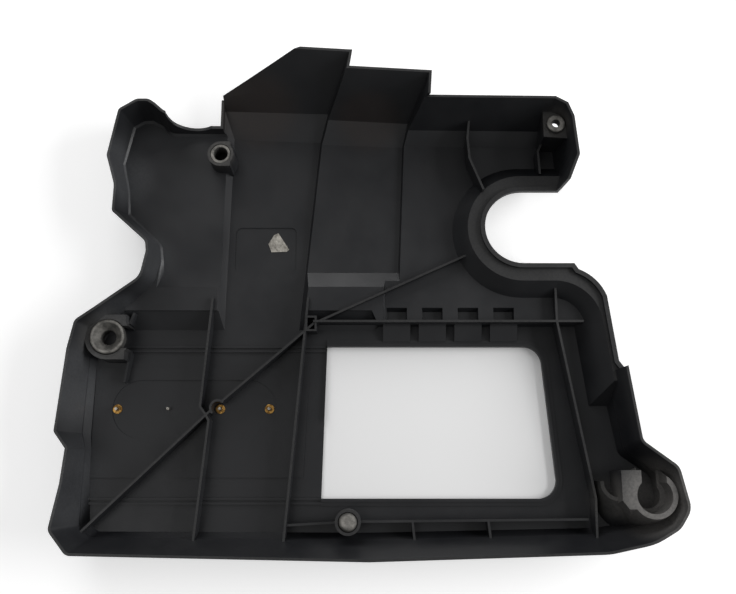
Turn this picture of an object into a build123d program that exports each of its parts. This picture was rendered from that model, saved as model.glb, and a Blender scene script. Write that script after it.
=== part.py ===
"""Moulded engine cover, lying on its top face with the ribbed underside up.

+Z comes out of the underside, +Y is the rear edge, +X is the photograph's right.
The skin is an envelope less the same envelope drawn one wall smaller, so every
basin of the floor, every sloping wall and every rim has the one wall.
"""
import math
import os

from build123d import *

os.makedirs("parts", exist_ok=True)

# Driving sizes
half_length = 266.5
half_depth = 223.0
wall = 2.3
rib_wall = 2.0
deck_z = 12.0
rim_z = 42.0
rear_z = 70.0
arm_z = 62.0
flange_z = 24.0
clear_above = 90.0
contact = 0.3

# Floor heights of the basins, taken on the outside of the skin
front_floor = 0.0
channel_floor = 0.0
middle_floor = 5.0
left_floor = 8.0
arm_floor = 9.0

# Lines across the cover: front fold, window, louvre rib, groove, rear fold
front_fold_y = -204.0
window_front_y = -173.0
window_back_y = -39.0
louvre_y = -18.0
drop_foot_y = -21.0
groove_front_y = -5.0
groove_back_y = 12.0
strip_back_y = 27.0
rear_fold_y = 164.0

# Lines along the cover: left foot, channel sides, window
left_foot_x = -248.0
channel_left_x = -135.0
channel_right_x = -44.0
middle_right_x = 34.0
window_left_x = -38.0
window_right_x = 160.0

# Rear left corner: round notch, then the rim climbs along the slope to its highest point
notch_end = (-139.5, 194.5)
notch_end_z = 21.0
crest = (-62.0, half_depth)
notch_x = -162.0
notch_r = 25.0

# Round cut-out on the right, with its flange
cutout_x = 139.0
cutout_y = 67.0
cutout_r = 34.0
flange_width = 15.0
flange_draft = 40.0
rail_front_y = -92.0
lip_width = 4.0
lip_height = 3.0

# Window in the front floor
window_slant = 11.0
window_left_slant = 4.0
window_corner_r = 16.0
frame_steps = ((2.5, 3.0), (6.0, 1.2))

# Louvre row between the floors
louvre_count = 4
louvre_x = 15.0
louvre_width = 20.0
louvre_pitch = 32.3
louvre_length = 14.0
louvre_floor = 3.0

# Ribs: tops of the long ribs, of the louvre rib and of the front ledge
rib_top = 18.0
cross_top = 20.0
ledge_top = 16.0
fin_top = 34.0
bead_height = 1.6

# Badge panel: plain pad, sunk seat and four pins
pad_height = 0.8
seat_x = -156.0
seat_y = -95.0
seat_length = 147.0
seat_width = 52.0
pin_r = 1.3
pin_length = 6.0
pin_xs = (-225.0, -179.0, -133.0, -89.0)
clip_r = 4.2
clip_thickness = 0.8
cup_r = 7.5
bare_pin = 1

# Left socket and its grommet
left_socket = (-231.0, -33.5)
left_wall_r = 20.0
left_wall_top = 26.5
left_plate_z = 17.0
left_mouth = 20.0
left_grommet_r = 15.5
left_neck_r = 11.0
left_foot_r = 12.8
left_foot_height = 5.0
left_bore_r = 6.5
left_dish_r = 13.0
left_dish_depth = 7.0
left_grommet_top = 29.0

# Rear left socket and its bush
rear_socket = (-137.0, 137.0)
rear_wall_r = 12.0
rear_flat = 9.0
rear_wall_top = 30.0
rear_plate_z = 22.0
rear_bush_r = 9.2
rear_neck_r = 7.8
rear_bore_r = 6.3
rear_foot_height = 4.0
rear_bush_top = 29.5

# Rear right shelf and its ring bush
shelf_at = (169.0, 158.0)
shelf_z = 46.0
ring_r = 8.3
ring_neck_r = 5.5
ring_bore_r = 3.5
ring_foot_height = 2.5
ring_top = 50.0

# Bump stop in its tube on the front ledge
stop_at = (-18.0, -192.0)
stop_tube_r = 11.0
stop_r = 8.2
stop_web_z = 18.0
stop_tube_top = 27.0
stop_top = 29.0

# Empty front right socket: round keyhole tower, its leg and the cupped lobe beside it
empty_at = (239.0, -170.0)
empty_r = 15.0
empty_wall = 4.2
empty_base_r = 29.0
empty_top = 38.0
empty_ledge_z = 18.0
empty_mouth = 21.0
keyhole_r = 11.0
keyhole_mouth = 17.0
leg_left_x = 211.7
leg_back_y = -149.0
lobe_left_x = 197.5
lobe_back_y = -158.0
lobe_base_y = -200.5
lobe_top_y = -174.5
lobe_base_round = 26.0
lobe_top_round = 15.0
lobe_top = 24.0
scoop_at = (213.0, -159.0)
scoop_r = 12.5

# Shallow pocket in the deepest channel and the torn label in it
pocket_at = (-96.0, 52.0)
pocket_size = (57.0, 44.0)
pocket_depth = 0.8
label_thickness = 0.4

# Outer edge of the tray: a foot at the table, the rim above it and the corner's radius
tray_edge = [
    ((-236.0, front_fold_y + 1.0), (-249.0, -half_depth + 5.0), 8.0),
    ((0.0, front_fold_y), (0.0, -half_depth), 0.0),
    ((196.0, front_fold_y + 4.0), (198.0, -half_depth + 6.0), 60.0),
    ((228.0, -195.0), (236.0, -209.0), 50.0),
    ((245.0, -187.0), (257.0, -197.0), 20.0),
    ((253.0, -176.0), (half_length + 1.0, -181.0), 16.0),
    ((249.0, -152.0), (260.0, -146.0), 12.0),
    ((222.0, -133.0), (231.0, -124.5), 8.0),
    ((211.0, -68.0), (222.5, -60.0), 0.0),
    ((240.0, -56.0), (240.0, -54.0), 0.0),
    ((240.0, 90.0), (240.0, 90.0), 0.0),
    ((130.0, 90.0), (130.0, 90.0), 0.0),
    ((130.0, 140.0), (130.0, 140.0), 0.0),
    ((-128.0, 140.0), (-128.0, 140.0), 0.0),
    ((-134.0, rear_fold_y), (-134.0, 172.0), 0.0),
    ((-186.0, rear_fold_y), (-187.0, 173.0), 12.0),
    ((-192.0, 170.0), (-197.0, 182.0), 6.0),
    ((-205.0, 177.0), (-203.0, 186.0), 8.0),
    ((-214.0, 177.0), (-214.0, 186.0), 8.0),
    ((-224.0, 171.0), (-230.0, 176.0), 5.0),
    ((-232.0, 134.0), (-238.0, 131.0), 8.0),
    ((-226.0, 106.0), (-229.5, 103.0), 20.0),
    ((-224.0, 84.0), (-230.0, 78.0), 5.0),
    ((-193.0, 54.0), (-198.5, 50.0), 8.0),
    ((-191.0, 40.0), (-197.5, 41.0), 8.0),
    ((-195.0, 22.0), (-202.0, 18.0), 15.0),
    ((-228.0, -16.0), (-239.0, -9.0), 12.0),
    ((-241.0, -27.0), (-256.0, -21.0), 8.0),
    ((left_foot_x, -50.0), (-261.0, -46.0), 0.0),
    ((left_foot_x - 1.0, -117.0), (-half_length - 0.1, -117.0), 4.0),
    ((left_foot_x, -131.0), (-256.0, -131.0), 0.0),
    ((left_foot_x, -160.0), (-258.5, -160.0), 0.0),
    ((left_foot_x + 3.0, -195.0), (-265.5, -198.0), 8.0),
]


def at_height(pair, z):
    """Corner of the tray's edge at height z, with its radius."""
    (fx, fy), (rx, ry), radius = pair
    share = z / rim_z
    return (fx + (rx - fx) * share, fy + (ry - fy) * share, radius)


def outline(corners):
    """Closed line through the corners; a third number rounds its corner."""
    points = [corner[:2] for corner in corners]
    radii = [corner[2] if len(corner) > 2 else 0.0 for corner in corners]
    if any(radii):
        return FilletPolyline(*points, radius=radii, close=True)
    return Polyline(*points, close=True)


def basin(sections, inset):
    """Hollow drawn through outlines at rising heights.

    With no inset it is the outside of the skin; with the wall as inset it is
    the room inside, carried on upwards so that it opens every rim.
    """
    levels = [(z + inset, corners) for z, corners in sections]
    if inset:
        levels[-1] = sections[-1]
        levels.append((clear_above, sections[-1][1]))
    with BuildPart() as hollow:
        for z, corners in levels:
            with BuildSketch(Plane.XY.offset(z)):
                with BuildLine():
                    outline(corners)
                make_face()
                if inset:
                    offset(amount=-inset, kind=Kind.INTERSECTION)
        loft(ruled=True)
    return hollow.part


def tray(inset):
    """Everything above the deck, from the deck's edge out to the rim."""
    deck = [at_height(pair, deck_z) for pair in tray_edge]
    rim = [at_height(pair, rim_z) for pair in tray_edge]
    return basin([(deck_z, deck), (rim_z, rim)], inset)


def front_basin(inset):
    """Front floor: badge panel, window frame and front strip."""
    side = tray_edge[:9]
    left = tray_edge[27:]
    floor = [at_height(pair, 0.0) for pair in side]
    floor += [(240.0, -60.0), (240.0, louvre_y), (8.0, louvre_y), (4.0, drop_foot_y)]
    floor += [(-60.0, drop_foot_y), (channel_left_x, drop_foot_y), (-226.0, drop_foot_y)]
    floor += [at_height(pair, 0.0) for pair in left]
    deck = [at_height(pair, deck_z) for pair in side]
    deck += [(240.0, -58.0), (240.0, louvre_y + 4.0), (8.0, louvre_y + 4.0), (4.0, groove_front_y)]
    deck += [(-57.0, groove_front_y), (channel_left_x, groove_front_y), (-222.0, groove_front_y)]
    deck += [at_height(pair, deck_z) for pair in left]
    return basin([(front_floor, floor), (deck_z, deck)], inset)


def channel_basin(inset):
    """Deepest rear channel with its two-stage rear slope."""
    floor = [(channel_left_x, -60.0), (-65.0, -60.0)]
    floor += [(channel_right_x, rear_fold_y - 3.0), (-131.0, rear_fold_y)]
    band = [(channel_left_x - 5.0, -60.0), (-60.0, -60.0), (-36.5, 185.0), (-139.0, 188.0)]
    rim = [(channel_left_x - 5.0, -60.0), (-60.0, -60.0), (-15.0, half_depth - 2.9), (-142.0, half_depth + 4.9)]
    return basin([(channel_floor, floor), (deck_z, band), (rear_z, rim)], inset)


def middle_basin(inset):
    """Middle rear channel, whose front end slopes up to the groove."""
    floor = [(-76.0, strip_back_y), (29.0, strip_back_y)]
    floor += [(middle_right_x, 154.0), (-62.0, 158.0)]
    band = [(-78.0, groove_back_y - 8.0), (32.0, groove_back_y - 8.0), (38.5, 173.5), (-56.0, 178.5)]
    rim = [(-78.0, -60.0), (40.0, -60.0), (56.0, 200.0), (-38.0, 205.5)]
    return basin([(middle_floor, floor), (deck_z + 4.0, band), (rear_z, rim)], inset)


def arm_basin(inset):
    """Right-hand channel, the floor behind the louvres and the rear arm."""
    front = louvre_y - 14.0
    floor = [(12.0, front), (240.0, front), (240.0, 80.0), (166.0, 80.0), (177.0, 124.0, 6.0)]
    floor += [(175.0, 148.0), (172.0, 151.0), (166.0, 152.0), (20.0, 154.0), (12.0, strip_back_y), (12.0, 8.0)]
    band = [(6.0, front), (240.0, front), (240.0, 80.0), (167.0, 80.0), (179.0, 124.0, 6.0)]
    band += [(177.5, 155.0), (174.0, 162.0), (166.0, 164.5), (23.0, 166.0), (10.0, strip_back_y), (8.0, 8.0)]
    rim = [(6.0, front), (240.0, front), (240.0, 80.0), (168.0, 80.0), (186.0, 124.0, 6.0)]
    rim += [(183.0, 160.0), (178.0, 173.0), (167.0, 179.0), (34.0, 180.5), (10.0, strip_back_y), (8.0, 8.0)]
    return basin([(arm_floor, floor), (arm_floor + 10.0, band), (arm_z, rim)], inset)


def left_basin(inset):
    """Rear left floor, sloping up to the groove in front."""
    back = tray_edge[14:25]
    floor = [(channel_left_x + 4.0, strip_back_y), (channel_left_x + 6.0, rear_fold_y)]
    floor += [at_height(pair, 0.0) for pair in back[1:]]
    floor += [(-190.0, strip_back_y)]
    deck = [(channel_left_x + 4.0, groove_back_y), (channel_left_x + 6.0, rear_fold_y + 2.0)]
    deck += [at_height(pair, deck_z) for pair in back[1:]]
    deck += [(-196.0, groove_back_y)]
    return basin([(left_floor, floor), (deck_z, deck)], inset)


def flange_mesa(inset):
    """Raised ground round the cut-out and along the right edge.

    Its top is the flange; its side is the broad slope down to the floor.
    """
    slope = flange_z * math.tan(math.radians(flange_draft))
    reach = cutout_r + flange_width + slope
    corner = cutout_y - reach
    with BuildPart() as mesa:
        with BuildSketch():
            with Locations((cutout_x, cutout_y)):
                Circle(reach)
                Rectangle(200.0, 2.0 * reach, align=(Align.MIN, Align.CENTER))
            with BuildLine():
                Line((168.0, corner + 5.0), (168.0, corner))
                ThreePointArc((168.0, corner), (181.5, corner - 6.0), (188.0, corner - 20.0))
                Polyline((188.0, corner - 20.0), (197.0, rail_front_y), (320.0, rail_front_y))
                Polyline((320.0, rail_front_y), (320.0, corner + 5.0), (168.0, corner + 5.0))
            make_face()
            if inset:
                offset(amount=inset, kind=Kind.INTERSECTION)
        extrude(amount=flange_z + inset, taper=flange_draft)
    return mesa.part


def shelf_mesa(inset):
    """Raised corner of the arm that carries the ring bush."""
    with BuildPart() as mesa:
        with BuildSketch():
            with BuildLine():
                Polyline((160.5, 200.0), (160.5, 149.0), (200.0, 146.0), (200.0, 200.0), close=True)
            make_face()
            if inset:
                offset(amount=inset, kind=Kind.INTERSECTION)
        extrude(amount=shelf_z - wall + inset)
    return mesa.part


def louvre_places():
    """Left edge of each louvre."""
    return [louvre_x + louvre_pitch * i for i in range(louvre_count)]


def louvre_basin(left, inset):
    """Sunk scoop behind the louvre rib."""
    back = louvre_y + 2.0 + louvre_length + wall
    left = left - wall
    right = left + louvre_width + 2.0 * wall
    floor = [(left + 1.5, louvre_y), (right - 1.5, louvre_y), (right - 1.5, back - 5.0), (left + 1.5, back - 5.0)]
    top = [(left, louvre_y), (right, louvre_y), (right, back), (left, back)]
    return basin([(louvre_floor, floor), (deck_z + 4.0, top)], inset)


def louvre_ramp(left, inset):
    """Raised ramp in front of the louvre rib."""
    front = louvre_y - louvre_length
    with BuildPart() as ramp:
        with BuildSketch(Plane.YZ.offset(left - inset)):
            with BuildLine():
                Polyline(
                    (front - inset, 0.0),
                    (front - inset, 2.0 + inset),
                    (louvre_y - 3.0, 7.0 + inset),
                    (louvre_y + 8.0, 7.0 + inset),
                    (louvre_y + 8.0, 0.0),
                    close=True,
                )
            make_face()
        extrude(amount=louvre_width + 2.0 * inset)
    return ramp.part


def body(inset):
    """All basins joined, less the raised parts."""
    with BuildPart() as joined:
        for make in (tray, front_basin, channel_basin, middle_basin, arm_basin, left_basin):
            add(make(inset))
        add(flange_mesa(inset), mode=Mode.SUBTRACT)
        add(shelf_mesa(inset), mode=Mode.SUBTRACT)
        for left in louvre_places():
            add(louvre_ramp(left, inset), mode=Mode.SUBTRACT)
        for left in louvre_places():
            add(louvre_basin(left, inset))
    return joined.part


def outside_right(grow, bottom, top):
    """Room right of the cover: the round cut-out and the outer edge of the rail."""
    with BuildPart() as room:
        with BuildSketch(Plane.XY.offset(bottom)):
            with Locations((cutout_x, cutout_y)):
                Circle(cutout_r)
                Rectangle(200.0, 2.0 * cutout_r, align=(Align.MIN, Align.CENTER))
            with BuildLine():
                Line((184.0, cutout_y), (184.0, 33.0))
                Line((184.0, 33.0), (187.5, 27.5))
                ThreePointArc((187.5, 27.5), (202.0, 18.0), (211.5, 3.0))
                Line((211.5, 3.0), (218.5, -55.0))
                Polyline((218.5, -55.0), (222.5, -60.5), (226.0, -75.0), (340.0, -75.0))
                Polyline((340.0, -75.0), (340.0, cutout_y), (184.0, cutout_y))
            make_face()
            if grow:
                offset(amount=grow, kind=Kind.INTERSECTION)
        extrude(amount=top - bottom)
    return room.part


def upright(points, thickness, bottom, top):
    """Thin wall standing on a line through the points."""
    with BuildPart() as stand:
        with BuildSketch(Plane.XY.offset(bottom)):
            with BuildLine():
                Polyline(*points)
            trace(line_width=thickness)
        extrude(amount=top - bottom)
    return stand.part


envelope = body(0.0)
room = body(wall)

# Ribs and lips, cut back to the envelope so that none shows on the outside
with BuildPart() as ribs:
    add(upright([(-141.0, 4.0), (-148.5, -94.0), (-144.0, -100.0), (-140.5, -106.0), (-151.0, -222.0)],
                rib_wall, wall / 2, rib_top))
    add(upright([(-55.0, 4.0), (-74.0, -222.0)], rib_wall, wall / 2, rib_top))
    add(upright([(92.0, 45.0), (-50.0, -20.0), (-142.5, -100.5), (-258.0, -212.0)],
                rib_wall, wall / 2, rib_top))
    add(upright([(-50.0, louvre_y), (192.0, louvre_y)], rib_wall, wall / 2, cross_top))
    add(upright([(168.0, 24.0), (168.0, louvre_y), (194.0, -172.0), (193.0, -222.0)],
                rib_wall, wall / 2, cross_top))
    add(upright([(-72.0, -195.0), (stop_at[0], stop_at[1]), (188.0, -190.0)],
                rib_wall, wall / 2, ledge_top))
    for x in (37.0, 102.0):
        add(upright([(x, -191.0), (x + 3.5, -224.0)], rib_wall, wall / 2, ledge_top))
    add(upright([(94.0, 182.0), (90.5, 151.0), (92.0, 131.0), (104.0, 101.0)],
                rib_wall, wall / 2, fin_top))
    add(upright([(161.0, 151.0), (156.0, 140.0), (157.0, 118.0)], rib_wall, wall / 2, flange_z + 4.0))
    # Gussets of the left socket
    add(upright([(-214.0, -45.0), (-218.0, -72.0)], rib_wall, wall / 2, 12.0))
    add(upright([(-215.0, -20.0), (-211.0, -10.0)], rib_wall, wall / 2, left_plate_z))
    # Cup round the pin that stands on the long rib
    with BuildSketch(Plane.XY.offset(wall / 2)):
        with Locations((pin_xs[2], seat_y)):
            Circle(cup_r)
    extrude(amount=rib_top - wall / 2)
    with BuildSketch(Plane.XY.offset(wall)):
        with Locations((pin_xs[2], seat_y)):
            Circle(cup_r - rib_wall)
            Rectangle(2.0 * cup_r, 2.0 * cup_r, rotation=-45.0, align=(Align.MIN, Align.CENTER))
    extrude(amount=rib_top, mode=Mode.SUBTRACT)
    # Square tower where the long ribs meet
    with BuildSketch(Plane.XY.offset(wall / 2)):
        with Locations((-52.0, -20.0)):
            Rectangle(10.0, 14.0)
            Rectangle(6.5, 10.5, mode=Mode.SUBTRACT)
    extrude(amount=rib_top)
    # Beads that frame the badge panel
    for y in (window_back_y, window_back_y - 4.0, window_front_y, window_front_y - 4.0):
        add(upright([(-262.0, y), (window_left_x - 1.0, y)], rib_wall, wall / 2, wall + bead_height))
    # Lip round the cut-out and along the rail
    add(outside_right(lip_width, flange_z, flange_z + wall + lip_height))
    add(envelope, mode=Mode.INTERSECT)

# Sockets that stand on the floor
with BuildPart() as sockets:
    # Left horseshoe: thick round wall open to the right, with a keyhole plate half way down
    with BuildSketch(Plane.XY.offset(wall / 2)):
        with Locations(left_socket):
            Circle(left_wall_r)
            Rectangle(left_wall_r - 4.5, 2.0 * left_wall_r, align=(Align.MIN, Align.CENTER))
            Circle(left_grommet_r + 2.0 * contact, mode=Mode.SUBTRACT)
            Rectangle(left_wall_r, left_mouth, align=(Align.MIN, Align.CENTER), mode=Mode.SUBTRACT)
    extrude(amount=left_wall_top - wall / 2)
    with BuildSketch(Plane.XY.offset(left_plate_z)):
        with Locations(left_socket):
            Circle(left_wall_r)
            Circle(left_neck_r + contact, mode=Mode.SUBTRACT)
            Rectangle(left_wall_r, 2.0 * left_neck_r - 2.0, align=(Align.MIN, Align.CENTER), mode=Mode.SUBTRACT)
    extrude(amount=wall)
    # Rear left socket: D-shaped tube with a pierced plate half way down
    with BuildSketch(Plane.XY.offset(wall / 2)):
        with Locations(rear_socket):
            Circle(rear_wall_r)
            Rectangle(rear_flat, 2.0 * rear_wall_r, align=(Align.MIN, Align.CENTER))
            Circle(rear_bush_r + contact, mode=Mode.SUBTRACT)
    extrude(amount=rear_wall_top - wall / 2)
    with BuildSketch(Plane.XY.offset(rear_plate_z - wall)):
        with Locations(rear_socket):
            Circle(rear_wall_r - wall / 2)
            Circle(rear_neck_r + contact, mode=Mode.SUBTRACT)
    extrude(amount=wall)
    # Tube of the bump stop with a web half way up
    with BuildSketch(Plane.XY.offset(wall / 2)):
        with Locations(stop_at):
            Circle(stop_tube_r)
            Circle(stop_r + contact, mode=Mode.SUBTRACT)
    extrude(amount=stop_tube_top - wall / 2)
    with BuildSketch(Plane.XY.offset(stop_web_z - wall)):
        with Locations(stop_at):
            Circle(stop_tube_r)
    extrude(amount=wall)
    # Lobe left of the empty socket: a sloping nose round a quarter-round scoop
    for z, front, right, round_r in (
        (wall / 2, lobe_base_y, 240.0, lobe_base_round),
        (lobe_top, lobe_top_y, 226.0, lobe_top_round),
    ):
        with BuildSketch(Plane.XY.offset(z)):
            with BuildLine():
                FilletPolyline(
                    (lobe_left_x, lobe_back_y),
                    (lobe_left_x, front),
                    (right, front),
                    (right, lobe_back_y),
                    radius=(0.0, round_r, 0.0, 0.0),
                    close=True,
                )
            make_face()
    loft(ruled=True)
    with BuildSketch(Plane.XY.offset(wall)):
        with Locations(scoop_at):
            Circle(scoop_r)
            Rectangle(2.0 * scoop_r, 40.0, align=(Align.CENTER, Align.MIN))
    extrude(amount=clear_above, mode=Mode.SUBTRACT)
    # Round tower with its drafted outside, and the leg that ends in a sloping prow
    with BuildSketch(Plane.XY.offset(wall / 2)):
        with Locations(empty_at):
            Circle(empty_base_r)
    with BuildSketch(Plane.XY.offset(empty_top)):
        with Locations(empty_at):
            Circle(empty_r + empty_wall)
    loft(ruled=True)
    for z, side_y, nose, right in (
        (wall / 2, -180.0, (228.0, -197.0), empty_at[0]),
        (empty_top, -174.0, (217.0, -181.0), empty_at[0] - empty_mouth / 2),
    ):
        with BuildSketch(Plane.XY.offset(z)):
            with BuildLine():
                Polyline((leg_left_x, leg_back_y), (leg_left_x, side_y), nose, (right, nose[1]), (right, leg_back_y),
                         close=True)
            make_face()
    loft(ruled=True)
    # Its round seat, the keyhole below the seat, the mouths and the hollow under the ledge
    for bottom, height, seat_r, mouth in (
        (empty_ledge_z, clear_above, empty_r, empty_mouth),
        (wall, clear_above, keyhole_r, keyhole_mouth),
        (wall, empty_ledge_z - 2.0 * wall, empty_r + 3.0, 2.0 * empty_r + 14.0),
    ):
        with BuildSketch(Plane.XY.offset(bottom)):
            with Locations(empty_at):
                Circle(seat_r)
                Rectangle(mouth, 60.0, align=(Align.CENTER, Align.MIN))
        extrude(amount=height, mode=Mode.SUBTRACT)
    add(envelope, mode=Mode.INTERSECT)

with BuildPart() as cover:
    add(envelope)
    add(room, mode=Mode.SUBTRACT)
    # Side of the deepest channel, trimmed to the rim beside the notch
    with BuildSketch(Plane.XY.offset(notch_end_z)):
        with BuildLine():
            Polyline((-148.0, 142.0), (-124.0, 142.0), (-124.0, 189.0), (-137.0, 189.0), (-137.0, 199.0),
                     (-148.0, 199.0), close=True)
        make_face()
    extrude(amount=clear_above, mode=Mode.SUBTRACT)
    # Pad of the badge panel and the steps of the window frame
    with BuildSketch(Plane.XY.offset(wall / 2)):
        with BuildLine():
            Polyline((-246.0, -155.0), (-58.0, -155.0), (-53.5, -58.0), (-246.0, -58.0), close=True)
        make_face()
    extrude(amount=wall / 2 + pad_height)
    for grow, height in frame_steps:
        with BuildSketch(Plane.XY.offset(wall / 2)):
            with BuildLine():
                FilletPolyline(
                    (window_left_x - window_left_slant, window_front_y - grow),
                    (window_right_x + window_slant / 2 + grow, window_front_y - grow),
                    (window_right_x - window_slant / 2 + grow, window_back_y + grow),
                    (window_left_x, window_back_y + grow),
                    radius=(0.0, window_corner_r + grow, window_corner_r + grow, 0.0),
                    close=True,
                )
            make_face()
        extrude(amount=wall / 2 + height)
    add(ribs.part)
    add(sockets.part)
    # Room right of the cover, and the corner cut off the rear slope
    add(outside_right(0.0, -1.0, clear_above), mode=Mode.SUBTRACT)
    with BuildSketch(Plane.XY.offset(-1.0)):
        with BuildLine():
            Polyline((-170.0, notch_end[1]), notch_end, crest, (crest[0], 250.0), (-170.0, 250.0), close=True)
        make_face()
    extrude(amount=clear_above, mode=Mode.SUBTRACT)
    # Round notch in the rear left wall
    with BuildSketch(Plane.XZ.offset(-155.0)):
        with Locations((notch_x, rim_z)):
            Circle(notch_r)
    extrude(amount=-40.0, mode=Mode.SUBTRACT)
    # Hole in the shelf for the ring bush
    with BuildSketch(Plane.XY.offset(shelf_z)):
        with Locations(shelf_at):
            Circle(ring_neck_r + contact)
    extrude(amount=-2.0 * wall, mode=Mode.SUBTRACT)
    # Window
    with BuildSketch(Plane.XY.offset(-1.0)):
        with BuildLine():
            FilletPolyline(
                (window_left_x - window_left_slant, window_front_y),
                (window_right_x + window_slant / 2, window_front_y),
                (window_right_x - window_slant / 2, window_back_y),
                (window_left_x, window_back_y),
                radius=(0.0, window_corner_r, window_corner_r, 0.0),
                close=True,
            )
        make_face()
    extrude(amount=deck_z, mode=Mode.SUBTRACT)
    # Sunk seat in the badge pad and shallow pocket in the channel
    with BuildSketch(Plane.XY.offset(wall)):
        with Locations((seat_x, seat_y)):
            SlotOverall(seat_length, seat_width)
    extrude(amount=pad_height, mode=Mode.SUBTRACT)
    with BuildSketch(Plane.XY.offset(wall - pocket_depth)):
        with Locations(pocket_at):
            RectangleRounded(*pocket_size, 6.0)
    extrude(amount=pocket_depth, mode=Mode.SUBTRACT)


def turned(at, profile):
    """Round piece from its half profile of radius and height."""
    upright_plane = Plane(origin=(at[0], at[1], 0.0), x_dir=(1, 0, 0), z_dir=(0, -1, 0))
    with BuildPart() as round_piece:
        with BuildSketch(upright_plane):
            with BuildLine():
                Polyline(*profile, close=True)
            make_face()
        revolve(axis=Axis((at[0], at[1], 0.0), (0, 0, 1)))
    return round_piece.part


# Rubber grommets: head above the plate, neck in its hole, foot below
with BuildPart() as grommet_left:
    add(turned(left_socket, [
        (left_bore_r, left_plate_z - contact - left_foot_height),
        (left_foot_r, left_plate_z - contact - left_foot_height),
        (left_foot_r, left_plate_z - contact),
        (left_neck_r, left_plate_z - contact),
        (left_neck_r, left_plate_z + wall),
        (left_grommet_r - 1.5, left_plate_z + wall),
        (left_grommet_r, left_plate_z + wall + 3.0),
        (left_grommet_r, left_grommet_top - 1.0),
        (left_grommet_r - 1.0, left_grommet_top),
        (left_dish_r, left_grommet_top),
        (left_bore_r, left_grommet_top - left_dish_depth),
    ]))

with BuildPart() as grommet_rear_left:
    add(turned(rear_socket, [
        (rear_bore_r, rear_plate_z - wall - contact - rear_foot_height),
        (rear_bush_r, rear_plate_z - wall - contact - rear_foot_height),
        (rear_bush_r, rear_plate_z - wall - contact),
        (rear_neck_r, rear_plate_z - wall - contact),
        (rear_neck_r, rear_plate_z),
        (rear_bush_r, rear_plate_z),
        (rear_bush_r, rear_bush_top),
        (rear_bore_r + 0.6, rear_bush_top),
        (rear_bore_r, rear_bush_top - 0.6),
    ]))

with BuildPart() as grommet_rear_right:
    add(turned(shelf_at, [
        (ring_bore_r, shelf_z - wall - contact - ring_foot_height),
        (ring_neck_r + 1.5, shelf_z - wall - contact - ring_foot_height),
        (ring_neck_r + 1.5, shelf_z - wall - contact),
        (ring_neck_r, shelf_z - wall - contact),
        (ring_neck_r, shelf_z),
        (ring_r, shelf_z),
        (ring_r, ring_top - 0.8),
        (ring_r - 0.8, ring_top),
        (ring_bore_r, ring_top),
    ]))

# Rubber stop: a plug on the web with a bevelled head
with BuildPart() as bump_stop:
    with BuildSketch(Plane.XY.offset(stop_web_z)):
        with Locations(stop_at):
            Circle(stop_r)
    extrude(amount=stop_top - stop_web_z - 3.0)
    with BuildSketch(Plane.XY.offset(stop_top - 3.0)):
        with Locations(stop_at):
            Circle(stop_r)
    extrude(amount=3.0, taper=35.0)

# Badge pins on the seat floor and the push-on clips of three of them
with BuildPart() as badge_pins:
    with BuildSketch(Plane.XY.offset(wall)):
        for x in pin_xs:
            with Locations((x, seat_y)):
                Circle(pin_r)
    extrude(amount=pin_length)

with BuildPart() as pin_clips:
    with BuildSketch(Plane.XY.offset(wall)):
        for i, x in enumerate(pin_xs):
            if i != bare_pin:
                with Locations((x, seat_y)):
                    Circle(clip_r)
                    Circle(pin_r + contact, mode=Mode.SUBTRACT)
    extrude(amount=clip_thickness)

# Torn scrap of label lying in the shallow pocket
with BuildPart() as label_scrap:
    with BuildSketch(Plane.XY.offset(wall - pocket_depth)):
        with BuildLine():
            Polyline((-85.0, 69.0), (-74.5, 53.0), (-76.5, 51.0), (-91.0, 50.5), (-94.0, 58.5), (-89.0, 67.0),
                     close=True)
        make_face()
    extrude(amount=label_thickness)

pieces = {
    "cover": cover,
    "grommet_left": grommet_left,
    "grommet_rear_left": grommet_rear_left,
    "grommet_rear_right": grommet_rear_right,
    "bump_stop": bump_stop,
    "badge_pins": badge_pins,
    "pin_clips": pin_clips,
    "label_scrap": label_scrap,
}
for name, piece in pieces.items():
    piece.part.label = name
    export_step(piece.part, f"parts/{name}.step")
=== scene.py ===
"""Looks of the moulded engine cover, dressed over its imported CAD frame."""

import logging
import math
from dataclasses import dataclass
from enum import Enum

import bmesh
import bpy
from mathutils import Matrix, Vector


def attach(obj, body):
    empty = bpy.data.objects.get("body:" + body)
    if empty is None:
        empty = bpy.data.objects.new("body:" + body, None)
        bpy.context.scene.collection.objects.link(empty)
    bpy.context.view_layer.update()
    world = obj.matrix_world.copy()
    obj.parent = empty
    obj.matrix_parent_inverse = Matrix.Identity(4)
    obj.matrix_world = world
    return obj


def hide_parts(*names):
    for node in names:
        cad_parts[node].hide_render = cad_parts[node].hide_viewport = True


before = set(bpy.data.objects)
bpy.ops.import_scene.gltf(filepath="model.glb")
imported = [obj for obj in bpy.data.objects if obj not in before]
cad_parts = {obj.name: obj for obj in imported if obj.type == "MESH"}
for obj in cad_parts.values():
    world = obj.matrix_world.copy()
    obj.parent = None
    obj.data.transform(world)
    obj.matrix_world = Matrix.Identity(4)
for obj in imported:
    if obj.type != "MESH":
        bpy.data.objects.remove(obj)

LOG = logging.getLogger("engine_cover")
MM = 0.001
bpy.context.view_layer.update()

Socket = bpy.types.NodeSocket
Colour = tuple[float, float, float, float]
WHITE: Colour = (1.0, 1.0, 1.0, 1.0)


class Slot(Enum):
    """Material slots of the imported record."""

    MOULDED = "moulded_plastic"
    RUBBER = "rubber"
    PIN = "pin_metal"
    CLIP = "clip_metal"
    LABEL = "label"


class Finish(Enum):
    """Which of a piece's materials a face takes, by its place in the mesh's list."""

    FLAT = 0
    # The worn edge finish is lighter than the flat one: rubbing, and a painted highlight along the rounded
    # edges.
    WORN_AND_HIGHLIT_EDGE = 1


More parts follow.
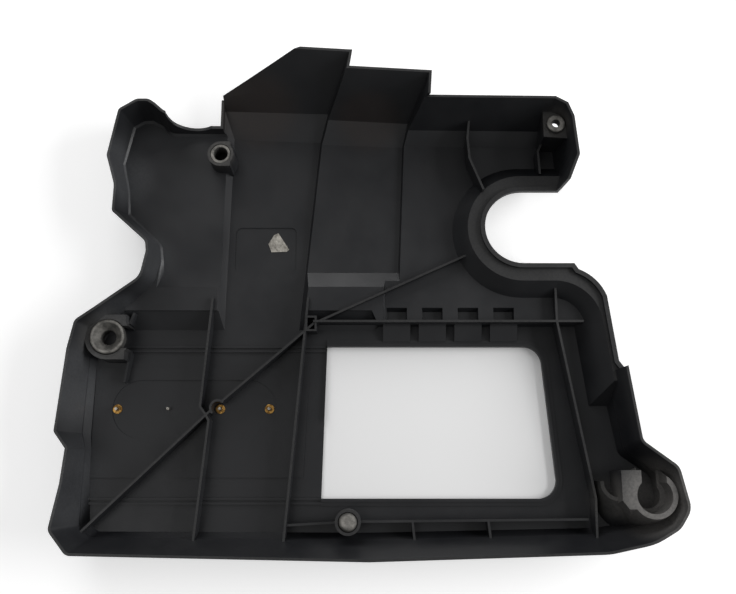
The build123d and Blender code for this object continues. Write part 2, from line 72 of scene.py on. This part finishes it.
def linear(hex_colour: str) -> Colour:
    """Turns an sRGB hex colour into linear light.

    Args:
        hex_colour: Colour as "#rrggbb".

    Returns:
        Red, green, blue and alpha for a node socket.
    """
    channels = [int(hex_colour[i:i + 2], 16) / 255 for i in (1, 3, 5)]
    red, green, blue = (
        c / 12.92 if c <= 0.04045 else ((c + 0.055) / 1.055) ** 2.4 for c in channels
    )
    return (red, green, blue, 1.0)


def add_node(
    tree: bpy.types.NodeTree, kind: str, links: dict[str | int, object] | None = None, **settings: object,
) -> bpy.types.Node:
    """Adds one shader node with its settings, socket values and links.

    Args:
        tree: Node tree that gets the node.
        kind: Blender's node type, such as "ShaderNodeTexNoise".
        links: Input socket, by name or number, to an output socket or a plain value.
        **settings: Attributes of the node.

    Returns:
        The new node.
    """
    node = tree.nodes.new(kind)
    for name, value in settings.items():
        setattr(node, name, value)
    for socket, value in (links or {}).items():
        if isinstance(value, Socket):
            tree.links.new(value, node.inputs[socket])
        else:
            node.inputs[socket].default_value = value
    return node


class MaterialTree:
    """Node tree of one material, with the steps that every look is made of.

    Attributes:
        material: The material.
        tree: Its node tree.
        place: Place on the piece in metres.
    """

    def __init__(self, name: str) -> None:
        """Starts the material with an empty tree.

        Args:
            name: Name of the real material.
        """
        self.material = bpy.data.materials.new(name)
        self.material.use_nodes = True
        self.tree = self.material.node_tree
        self.tree.nodes.clear()
        self.place = add_node(self.tree, "ShaderNodeTexCoord").outputs["Object"]

    def noise(self, size_mm: float, detail: float, roughness: float = 0.5) -> Socket:
        """Draws noise over the piece.

        Args:
            size_mm: Size of the largest cells.
            detail: How many finer layers are drawn into them.
            roughness: How much the finer layers count.

        Returns:
            The noise.
        """
        return add_node(self.tree, "ShaderNodeTexNoise", {
            "Vector": self.place, "Scale": 1.0 / (size_mm * MM), "Detail": detail, "Roughness": roughness,
        }).outputs["Fac"]

    def along(self, axis: str) -> Socket:
        """Gives the place along one axis in metres."""
        return add_node(self.tree, "ShaderNodeSeparateXYZ", {"Vector": self.place}).outputs[axis]

    def away_from(self, point_mm: tuple[float, float, float]) -> Socket:
        """Gives the distance from a point in metres."""
        point = tuple(v * MM for v in point_mm)
        return add_node(self.tree, "ShaderNodeVectorMath", {
            0: self.place, 1: point,
        }, operation="DISTANCE").outputs["Value"]

    def facing_up(self) -> Socket:
        """Gives 1 on flat tops, less on slopes and 0 on upright walls."""
        facing = add_node(self.tree, "ShaderNodeNewGeometry").outputs["Normal"]
        return add_node(self.tree, "ShaderNodeSeparateXYZ", {"Vector": facing}).outputs["Z"]

    def ramp(
        self, value: Socket, span: tuple[float, float], levels: tuple[float, float], curve: str = "LINEAR",
    ) -> Socket:
        """Turns a span of a value into levels and holds it at both ends.

        Args:
            value: The value.
            span: Values at which the ramp starts and ends.
            levels: Levels at its start and end.
            curve: Blender's interpolation between them.

        Returns:
            The level.
        """
        return add_node(self.tree, "ShaderNodeMapRange", {
            "Value": value, "From Min": span[0], "From Max": span[1],
            "To Min": levels[0], "To Max": levels[1],
        }, interpolation_type=curve).outputs["Result"]

    def times(self, left: Socket, right: Socket) -> Socket:
        """Multiplies two values."""
        return add_node(self.tree, "ShaderNodeMath", {
            0: left, 1: right,
        }, operation="MULTIPLY").outputs["Value"]

    def mix(self, cover: Socket, under: Socket | Colour, over: Colour) -> Socket:
        """Lays one colour over another.

        Args:
            cover: How much of the upper colour shows, from 0 to 1.
            under: Lower colour.
            over: Upper colour.

        Returns:
            The mixed colour.
        """
        return add_node(self.tree, "ShaderNodeMix", {
            "Factor": cover, "A": under, "B": over,
        }, data_type="RGBA").outputs["Result"]

    def bump(self, height: Socket, strength: float, depth_mm: float, over: Socket | None = None) -> Socket:
        """Tilts the normals as a fine relief would.

        Args:
            height: Height of the relief, from 0 to 1.
            strength: How much of the relief shows.
            depth_mm: Depth of the relief.
            over: Normals of a coarser relief below it.

        Returns:
            The tilted normals.
        """
        links = {"Height": height, "Strength": strength, "Distance": depth_mm * MM}
        if over is not None:
            links["Normal"] = over
        return add_node(self.tree, "ShaderNodeBump", links).outputs["Normal"]

    def with_surface(self, inputs: dict[str, object]) -> bpy.types.Material:
        """Closes the tree with one surface.

        Args:
            inputs: Input of the surface, by name, to an output socket or a plain value.

        Returns:
            The finished material.
        """
        shader = add_node(self.tree, "ShaderNodeBsdfPrincipled", inputs)
        add_node(self.tree, "ShaderNodeOutputMaterial", {"Surface": shader.outputs["BSDF"]})
        return self.material


@dataclass(frozen=True)
class Patch:
    """A place where handling or dust changed the moulding, or a patch of painted sheen or painted reflection.

    Attributes:
        at: Centre in millimetres.
        reach: Distance in millimetres over which the patch fades out.
        colour: Colour of the dirt, or of the painted sheen or painted reflection.
        strength: How much of the patch covers the plastic at the centre.
        core: Share of the reach that is covered in full.
    """

    at: tuple[float, float, float]
    reach: float
    colour: str
    strength: float
    core: float = 0.45


@dataclass(frozen=True)
class MouldedPolyamide:
    """Filled polyamide straight from the mould: satin black with a spark grain.

    It gives the eye a dark blue-black body, soft broad highlights on the
    slopes, and grey dust and rubbing where hands and the bench touched it; the rib tops also carry a painted
    highlight, and some patches carry painted sheen and painted reflection.

    Attributes:
        name: Name of the material.
        body: Colour of the clean plastic.
        dust_and_highlight_film: Colour of the thin dust film; on the worn edge finish it is also a painted
            highlight.
        dust_and_highlight_most: Most that this film covers.
        rub_and_highlight: Colour of the rubbed rib tops, which also stands for a painted highlight.
        rub_and_highlight_most: Most that the rubbing and painted highlight cover.
        specks_most: Most that a fleck of dust covers.
        roughness: Lowest and highest roughness.
        gloss: Specular level of the skin.
        smudge_mm: Size of the smudges in the dust film.
        speck_mm: Size of the flecks of dust, drawn coarser than real dust so that they show.
        sink_mm: Spacing of the slight sink marks.
        grain_mm: Grain of the mould, drawn coarser than the real 0.2 mm so that it shows.
        floor_top_mm: Height below which no top is rubbed or given a painted highlight.
        rib_top_mm: Height from which a top is rubbed and given a painted highlight in full.
        patches: Places with more dirt.
    """

    name: str = "moulded_black_polyamide"
    body: str = "#16171a"
    dust_and_highlight_film: str = "#5d5d5c"
    dust_and_highlight_most: float = 0.05
    rub_and_highlight: str = "#6b6964"
    rub_and_highlight_most: float = 0.10
    specks_most: float = 0.14
    roughness: tuple[float, float] = (0.38, 0.54)
    gloss: float = 0.5
    smudge_mm: float = 55.0
    speck_mm: float = 2.2
    sink_mm: float = 28.0
    grain_mm: float = 0.9
    floor_top_mm: float = 14.0
    rib_top_mm: float = 18.0
    patches: tuple[Patch, ...] = ()

    def material(self) -> bpy.types.Material:
        """Builds the material.

        Returns:
            The moulded plastic with its film of dust, rubbing and grain.
        """
        tree = MaterialTree(self.name)
        smudge = tree.noise(self.smudge_mm, detail=6.0, roughness=0.62)
        speck = tree.noise(self.speck_mm, detail=3.0, roughness=0.7)
        dust_and_highlight_film = tree.ramp(smudge, span=(0.36, 0.72), levels=(0.0, self.dust_and_highlight_most))
        colour = tree.mix(dust_and_highlight_film, linear(self.body), linear(self.dust_and_highlight_film))
        for patch in self.patches:
            colour = self.with_patch(tree, speck, colour, patch)
        colour = self.with_rubbed_and_highlit_tops(tree, speck, colour)
        flecks = tree.ramp(speck, span=(0.70, 0.76), levels=(0.0, self.specks_most))
        return tree.with_surface({
            "Base Color": tree.mix(flecks, colour, linear(self.dust_and_highlight_film)),
            "Roughness": tree.ramp(smudge, span=(0.3, 0.7), levels=self.roughness),
            "IOR": 1.5, "Specular IOR Level": self.gloss, "Normal": self.grain(tree),
        })

    def with_patch(self, tree: MaterialTree, speck: Socket, colour: Socket, patch: Patch) -> Socket:
        """Lays one patch of dirt, painted sheen or painted reflection over a colour.

        Args:
            tree: Node tree of the material.
            speck: Fine noise that breaks the patch up.
            colour: Colour under the patch.
            patch: The patch.

        Returns:
            The colour with the patch on it.
        """
        near = tree.ramp(
            tree.away_from(patch.at), span=(patch.core * patch.reach * MM, patch.reach * MM),
            levels=(patch.strength, 0.0), curve="SMOOTHSTEP",
        )
        broken = tree.ramp(speck, span=(0.3, 0.65), levels=(0.55, 1.0))
        return tree.mix(tree.times(near, broken), colour, linear(patch.colour))

    def with_rubbed_and_highlit_tops(self, tree: MaterialTree, speck: Socket, colour: Socket) -> Socket:
        """Greys the flat tops that stand above the floor: rubbing, and a painted highlight on the rib tops.

        Args:
            tree: Node tree of the material.
            speck: Fine noise that breaks the rubbing and painted highlight up.
            colour: Colour under the rubbing and painted highlight.

        Returns:
            The colour with its rubbed tops and their painted highlight.
        """
        # Painted highlight as well as rubbing: flat tops above the floor are greyed.
        flat = tree.ramp(tree.facing_up(), span=(0.86, 0.98), levels=(0.0, 1.0))
        high = tree.ramp(
            tree.along("Z"), span=(self.floor_top_mm * MM, self.rib_top_mm * MM), levels=(0.0, self.rub_and_highlight_most),
        )
        broken = tree.ramp(speck, span=(0.35, 0.6), levels=(0.3, 1.0))
        return tree.mix(tree.times(tree.times(flat, high), broken), colour, linear(self.rub_and_highlight))

    def grain(self, tree: MaterialTree) -> Socket:
        """Gives the spark grain of the mould over slight sink marks.

        Args:
            tree: Node tree of the material.

        Returns:
            The bumped normal.
        """
        waves = tree.bump(tree.noise(self.sink_mm, detail=2.0), strength=0.25, depth_mm=1.2)
        return tree.bump(tree.noise(self.grain_mm, detail=2.0), strength=0.22, depth_mm=0.12, over=waves)


@dataclass(frozen=True)
class GrommetRubber:
    """Moulded EPDM: dull and close-grained, dusty where it faces up.

    It gives the eye a soft grey-black with almost no highlight and a pale
    bloom of dust that gathers on the flat faces.

    Attributes:
        name: Name of the material.
        body: Colour of the clean rubber.
        bloom: Colour of the dust.
        bloom_most: Most that the dust covers on a flat face.
        dust_mm: Size of the dusty spots.
        grain_mm: Grain of the mould, drawn coarser than the real one so that it shows.
    """

    name: str = "moulded_epdm_rubber"
    body: str = "#242423"
    bloom: str = "#a19e98"
    bloom_most: float = 0.72
    dust_mm: float = 7.0
    grain_mm: float = 0.8

    def material(self) -> bpy.types.Material:
        """Builds the material.

        Returns:
            The rubber with its bloom.
        """
        tree = MaterialTree(self.name)
        dust = tree.noise(self.dust_mm, detail=5.0, roughness=0.65)
        flat = tree.ramp(tree.facing_up(), span=(0.4, 1.0), levels=(0.1, self.bloom_most))
        patchy = tree.ramp(dust, span=(0.34, 0.62), levels=(0.25, 1.0))
        grain = tree.noise(self.grain_mm, detail=2.0)
        return tree.with_surface({
            "Base Color": tree.mix(tree.times(flat, patchy), linear(self.body), linear(self.bloom)),
            "Roughness": 0.72, "IOR": 1.5, "Specular IOR Level": 0.3,
            "Normal": tree.bump(grain, strength=0.3, depth_mm=0.15),
        })


@dataclass(frozen=True)
class TarnishedMetal:
    """Stamped or drawn metal that has lost its shine in the engine bay.

    It gives the eye a broken highlight: bright where it is rubbed, brown
    where it is tarnished.

    Attributes:
        name: Name of the material.
        bright: Colour of the rubbed metal.
        tarnish: Colour of the tarnish.
        roughness: Roughness of the rubbed and of the tarnished metal.
        stain_mm: Size of the tarnished spots.
    """

    name: str
    bright: str
    tarnish: str
    roughness: tuple[float, float] = (0.28, 0.6)
    stain_mm: float = 2.5

    def material(self) -> bpy.types.Material:
        """Builds the material.

        Returns:
            The metal with its tarnish.
        """
        tree = MaterialTree(self.name)
        stain = tree.noise(self.stain_mm, detail=4.0)
        cover = tree.ramp(stain, span=(0.42, 0.62), levels=(0.0, 0.85))
        return tree.with_surface({
            "Base Color": tree.mix(cover, linear(self.bright), linear(self.tarnish)),
            "Roughness": tree.ramp(cover, span=(0.0, 1.0), levels=self.roughness),
            "Metallic": 1.0,
        })


@dataclass(frozen=True)
class TornPaper:
    """Label paper that was torn off.

    It gives the eye a dull pale scrap: torn fibres with grey dirt rubbed in.

    Attributes:
        name: Name of the material.
        fibre: Colour of the torn fibres.
        dirt: Colour of the dirt.
        smear_mm: Size of the smears.
    """

    name: str = "torn_label_paper"
    fibre: str = "#b9b5ac"
    dirt: str = "#57534d"
    smear_mm: float = 4.0

    def material(self) -> bpy.types.Material:
        """Builds the material.

        Returns:
            The torn paper.
        """
        tree = MaterialTree(self.name)
        smear = tree.noise(self.smear_mm, detail=6.0, roughness=0.7)
        cover = tree.ramp(smear, span=(0.35, 0.66), levels=(0.0, 0.9))
        return tree.with_surface({
            "Base Color": tree.mix(cover, linear(self.fibre), linear(self.dirt)),
            "Roughness": 0.8,
            "Normal": tree.bump(smear, strength=0.5, depth_mm=0.4),
        })


@dataclass(frozen=True)
class StudioPaper:
    """Matt white paper under the object; open paper shows as plain white, and inside the cover's window it is
    left darker as painted shade.

    Attributes:
        name: Name of the material.
        colour: Colour of the paper.
        open_lift: Glow, for the camera alone, that keeps open paper plain white.
        shaded_window_lift: The same inside the cover's window, kept low so that the paper there shows darker:
            painted shade.
        window_mm: Centre and half sizes of the window.
    """

    name: str = "studio_paper"
    colour: str = "#f2f2f2"
    open_lift: float = 0.42
    shaded_window_lift: float = 0.0
    window_mm: tuple[float, float, float, float] = (58.0, -106.0, 106.0, 72.0)

    def material(self) -> bpy.types.Material:
        """Builds the material.

        Returns:
            The paper.
        """
        tree = MaterialTree(self.name)
        seen = add_node(tree.tree, "ShaderNodeLightPath").outputs["Is Camera Ray"]
        return tree.with_surface({
            "Base Color": linear(self.colour), "Roughness": 0.9, "Specular IOR Level": 0.1,
            "Emission Color": WHITE, "Emission Strength": tree.times(seen, self.lift(tree)),
        })

    def lift(self, tree: MaterialTree) -> Socket:
        """Gives the glow by place: open paper, or paper inside the window, which gets less glow as painted
        shade.

        Args:
            tree: Node tree of the material.

        Returns:
            The glow.
        """
        centre_x, centre_y, half_x, half_y = (size * MM for size in self.window_mm)
        inside_x, inside_y = (
            add_node(tree.tree, "ShaderNodeMath", {
                0: tree.along(axis), 1: centre, 2: half,
            }, operation="COMPARE").outputs["Value"]
            for axis, centre, half in (("X", centre_x, half_x), ("Y", centre_y, half_y))
        )
        # Painted shade: the window box gets less glow than the open paper.
        return tree.ramp(
            tree.times(inside_x, inside_y), span=(0.0, 1.0), levels=(self.open_lift, self.shaded_window_lift),
        )


@dataclass
class EasedNode:
    """A CAD node whose sharp corners get the small radii of a real moulding.

    Attributes:
        node: Name of the CAD node that the piece stands for.
        slot: Material slot of the record; not used.
        finishes: Materials in the order of Finish; the flat one is enough.
        radius_mm: Radius on outside corners.
        sharp_deg: Corner angle from which an edge is rounded.
        fold_deg: Corner angle from which a fold shows as a line.
        merge_mm: Distance within which the CAD triangles' corners are one.
        flat_deg: Angle within which the CAD triangles are one face.
        shortest_mm: Edges no longer than this stay sharp.
    """

    node: str
    slot: Slot
    finishes: dict[Finish, bpy.types.Material]
    radius_mm: float
    sharp_deg: float = 24.0
    fold_deg: float = 9.0
    merge_mm: float = 0.01
    flat_deg: float = 0.4
    shortest_mm: float = 0.2

    def build(self) -> bpy.types.Object:
        """Copies, merges and eases the node's mesh.

        Returns:
            The dressed piece, riding on the root body in place of the node.
        """
        source = bpy.data.objects[self.node].data
        mesh = bpy.data.meshes.new(f"{self.node}_eased")
        bm = bmesh.new()
        bm.from_mesh(source)
        bmesh.ops.remove_doubles(bm, verts=bm.verts, dist=self.merge_mm * MM)
        bmesh.ops.dissolve_limit(
            bm, angle_limit=math.radians(self.flat_deg), verts=bm.verts, edges=bm.edges,
        )
        self.ease(bm)
        self.smooth(bm)
        bm.to_mesh(mesh)
        bm.free()
        for material in self.finishes.values():
            mesh.materials.append(material)
        piece = bpy.data.objects.new(f"{self.node}_eased", mesh)
        bpy.context.scene.collection.objects.link(piece)
        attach(piece, "root")
        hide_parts(self.node)
        return piece

    def ease(self, bm: bmesh.types.BMesh) -> None:
        """Rounds the outside corners, with the worn finish where there is one; that finish is lighter:
        rubbing, and a painted highlight.

        Args:
            bm: Merged mesh of the node.
        """
        limit = math.radians(self.sharp_deg)
        edges = [
            edge for edge in bm.edges
            if edge.is_manifold
            and edge.calc_face_angle_signed(0.0) > limit
            and edge.calc_length() > self.shortest_mm * MM
        ]
        worn_and_highlit = Finish.WORN_AND_HIGHLIT_EDGE.value if Finish.WORN_AND_HIGHLIT_EDGE in self.finishes else -1
        bmesh.ops.bevel(
            bm, geom=edges, offset=self.radius_mm * MM, offset_type="OFFSET", segments=2, profile=0.5,
            affect="EDGES", clamp_overlap=True, material=worn_and_highlit,
        )

    def smooth(self, bm: bmesh.types.BMesh) -> None:
        """Shades the faces smooth up to the sharp edges.

        Args:
            bm: Mesh to shade.
        """
        for face in bm.faces:
            face.smooth = True
        for edge in bm.edges:
            edge.smooth = edge.calc_face_angle(0.0) < math.radians(self.fold_deg)


@dataclass(frozen=True)
class Softbox:
    """A rectangular soft light that faces the object.

    Attributes:
        name: Name of the light.
        at: Place in metres.
        size: Width and height in metres.
        power: Watts.
    """

    name: str
    at: tuple[float, float, float]
    size: tuple[float, float]
    power: float

    def hang(self) -> None:
        """Hangs the light in the scene."""
        lamp = bpy.data.lights.new(self.name, "AREA")
        lamp.shape = "RECTANGLE"
        lamp.size, lamp.size_y = self.size
        lamp.energy = self.power
        holder = bpy.data.objects.new(self.name, lamp)
        holder.location = self.at
        holder.rotation_euler = (-Vector(self.at)).to_track_quat("-Z", "Y").to_euler()
        bpy.context.scene.collection.objects.link(holder)


@dataclass
class Studio:
    """White paper, soft light from the rear and the right, and the photograph's camera.

    Attributes:
        eye: Place of the camera in metres.
        pitch_deg: Tilt of the camera from straight down.
        focal_px: Focal length in pixels of the frame's width.
        frame_px: Width and height of the frame.
        sensor_mm: Width of the sensor.
        clip: Nearest and farthest distance that the camera sees.
        paper_size: Side of the paper in metres.
        paper_drop_mm: How far the paper lies under the object.
        surround: Light that the even white surround gives to the object.
        lights: Softboxes.
    """

    eye: tuple[float, float, float] = (-0.001, -0.159, 0.767)
    pitch_deg: float = 12.3
    focal_px: float = 850.0
    frame_px: tuple[int, int] = (736, 594)
    sensor_mm: float = 36.0
    clip: tuple[float, float] = (0.01, 30.0)
    paper_size: float = 8.0
    paper_drop_mm: float = 0.15
    surround: float = 0.26
    lights: tuple[Softbox, ...] = (
        Softbox("rear_window", (-0.7, 1.9, 0.95), (1.6, 1.0), 22.0),
        Softbox("right_window", (1.9, 0.1, 0.95), (1.6, 1.0), 40.0),
        Softbox("left_ceiling", (-1.3, -0.5, 2.4), (1.2, 1.6), 7.0),
    )

    def build(self) -> None:
        """Builds the floor, the lights, the world and the camera."""
        self.lay_paper()
        self.set_world()
        for light in self.lights:
            light.hang()
        self.set_camera()

    def lay_paper(self) -> None:
        """Lays the paper that the object rests on."""
        bm = bmesh.new()
        bmesh.ops.create_grid(bm, x_segments=1, y_segments=1, size=self.paper_size / 2)
        bmesh.ops.translate(bm, verts=bm.verts, vec=(0, 0, -self.paper_drop_mm * MM))
        mesh = bpy.data.meshes.new("studio_paper")
        bm.to_mesh(mesh)
        bm.free()
        mesh.materials.append(StudioPaper().material())
        paper = bpy.data.objects.new("studio_paper", mesh)
        bpy.context.scene.collection.objects.link(paper)

    def set_world(self) -> None:
        """Sets an even white surround that shows as plain white."""
        world = bpy.data.worlds.new("studio_surround")
        bpy.context.scene.world = world
        world.use_nodes = True
        tree = world.node_tree
        tree.nodes.clear()
        path = add_node(tree, "ShaderNodeLightPath")
        level = add_node(tree, "ShaderNodeMapRange", {
            "Value": path.outputs["Is Camera Ray"], "To Min": self.surround, "To Max": 1.0,
        }).outputs["Result"]
        sky = add_node(tree, "ShaderNodeBackground", {"Color": WHITE, "Strength": level})
        add_node(tree, "ShaderNodeOutputWorld", {"Surface": sky.outputs["Background"]})

    def set_camera(self) -> None:
        """Sets the camera where the photograph was taken from."""
        camera = bpy.data.cameras.new("photo_camera")
        camera.sensor_fit = "HORIZONTAL"
        camera.sensor_width = self.sensor_mm
        camera.lens = self.focal_px / self.frame_px[0] * camera.sensor_width
        camera.clip_start, camera.clip_end = self.clip
        holder = bpy.data.objects.new("photo_camera", camera)
        holder.location = self.eye
        holder.rotation_euler = (math.radians(self.pitch_deg), 0.0, 0.0)
        bpy.context.scene.collection.objects.link(holder)
        bpy.context.scene.camera = holder


@dataclass
class EngineCover:
    """The whole cover with what is fixed to it.

    Attributes:
        patches: Dusty, rubbed or stained places of the moulding, and places of painted sheen and painted
            reflection.
    """

    patches: tuple[Patch, ...] = (
        Patch((240, -172, 28), 40, "#8a8784", 0.55),
        Patch((208, -172, 16), 26, "#6f6d69", 0.34),
        Patch((-231, -34, 26), 30, "#6d6b67", 0.26),
        Patch((-137, 137, 30), 18, "#6b6863", 0.24),
        Patch((169, 159, 48), 18, "#726f69", 0.28),
        # Brownish patches at the rear: painted reflection.
        Patch((-105, 188, 20), 48, "#33271f", 0.4),
        Patch((0, 176, 22), 40, "#33271f", 0.35),
        # Bluish-grey patches on the left walls: painted sheen, lighter where the walls face the light.
        Patch((-258, -75, 26), 46, "#6b6d70", 0.22),
        Patch((-262, -160, 26), 50, "#6b6d70", 0.2),
        Patch((-232, 120, 28), 42, "#6b6d70", 0.26),
        Patch((-205, 40, 24), 36, "#6b6d70", 0.2),
        Patch((-228, -8, 24), 26, "#6b6d70", 0.2),
    )

    def build(self) -> list[bpy.types.Object]:
        """Builds every piece of the cover.

        Returns:
            The pieces in the order they were made.
        """
        plastic = MouldedPolyamide(patches=self.patches).material()
        # Lighter finish for the rounded edges: rubbing, and a painted highlight along them.
        worn_and_highlit = MouldedPolyamide(
            name="moulded_black_polyamide_worn_and_highlit_edge", body="#242528", dust_and_highlight_film="#7d7c79", dust_and_highlight_most=0.4,
            patches=self.patches,
        ).material()
        rubber = GrommetRubber().material()
        pins = TarnishedMetal("dull_aluminium_pin", "#c9c5bd", "#6d675f").material()
        clips = TarnishedMetal("tarnished_brass_clip", "#c79a55", "#6a4c28").material()
        paper = TornPaper().material()
        parts = [
            EasedNode("cover", Slot.MOULDED, {Finish.FLAT: plastic, Finish.WORN_AND_HIGHLIT_EDGE: worn_and_highlit}, 0.55),
            EasedNode("grommet_left", Slot.RUBBER, {Finish.FLAT: rubber}, 0.8),
            EasedNode("grommet_rear_left", Slot.RUBBER, {Finish.FLAT: rubber}, 0.6),
            EasedNode("grommet_rear_right", Slot.RUBBER, {Finish.FLAT: rubber}, 0.6),
            EasedNode("bump_stop", Slot.RUBBER, {Finish.FLAT: rubber}, 1.2),
            EasedNode("badge_pins", Slot.PIN, {Finish.FLAT: pins}, 0.4),
            EasedNode("pin_clips", Slot.CLIP, {Finish.FLAT: clips}, 0.15),
            EasedNode("label_scrap", Slot.LABEL, {Finish.FLAT: paper}, 0.1),
        ]
        return [part.build() for part in parts]


def main() -> None:
    """Builds the studio and the cover."""
    logging.basicConfig(level=logging.INFO, format="%(name)s: %(message)s")
    scene = bpy.context.scene
    scene.view_settings.view_transform = "Standard"
    Studio().build()
    for piece in EngineCover().build():
        LOG.info("%s: %d faces", piece.name, len(piece.data.polygons))


if __name__ == "__main__":
    main()
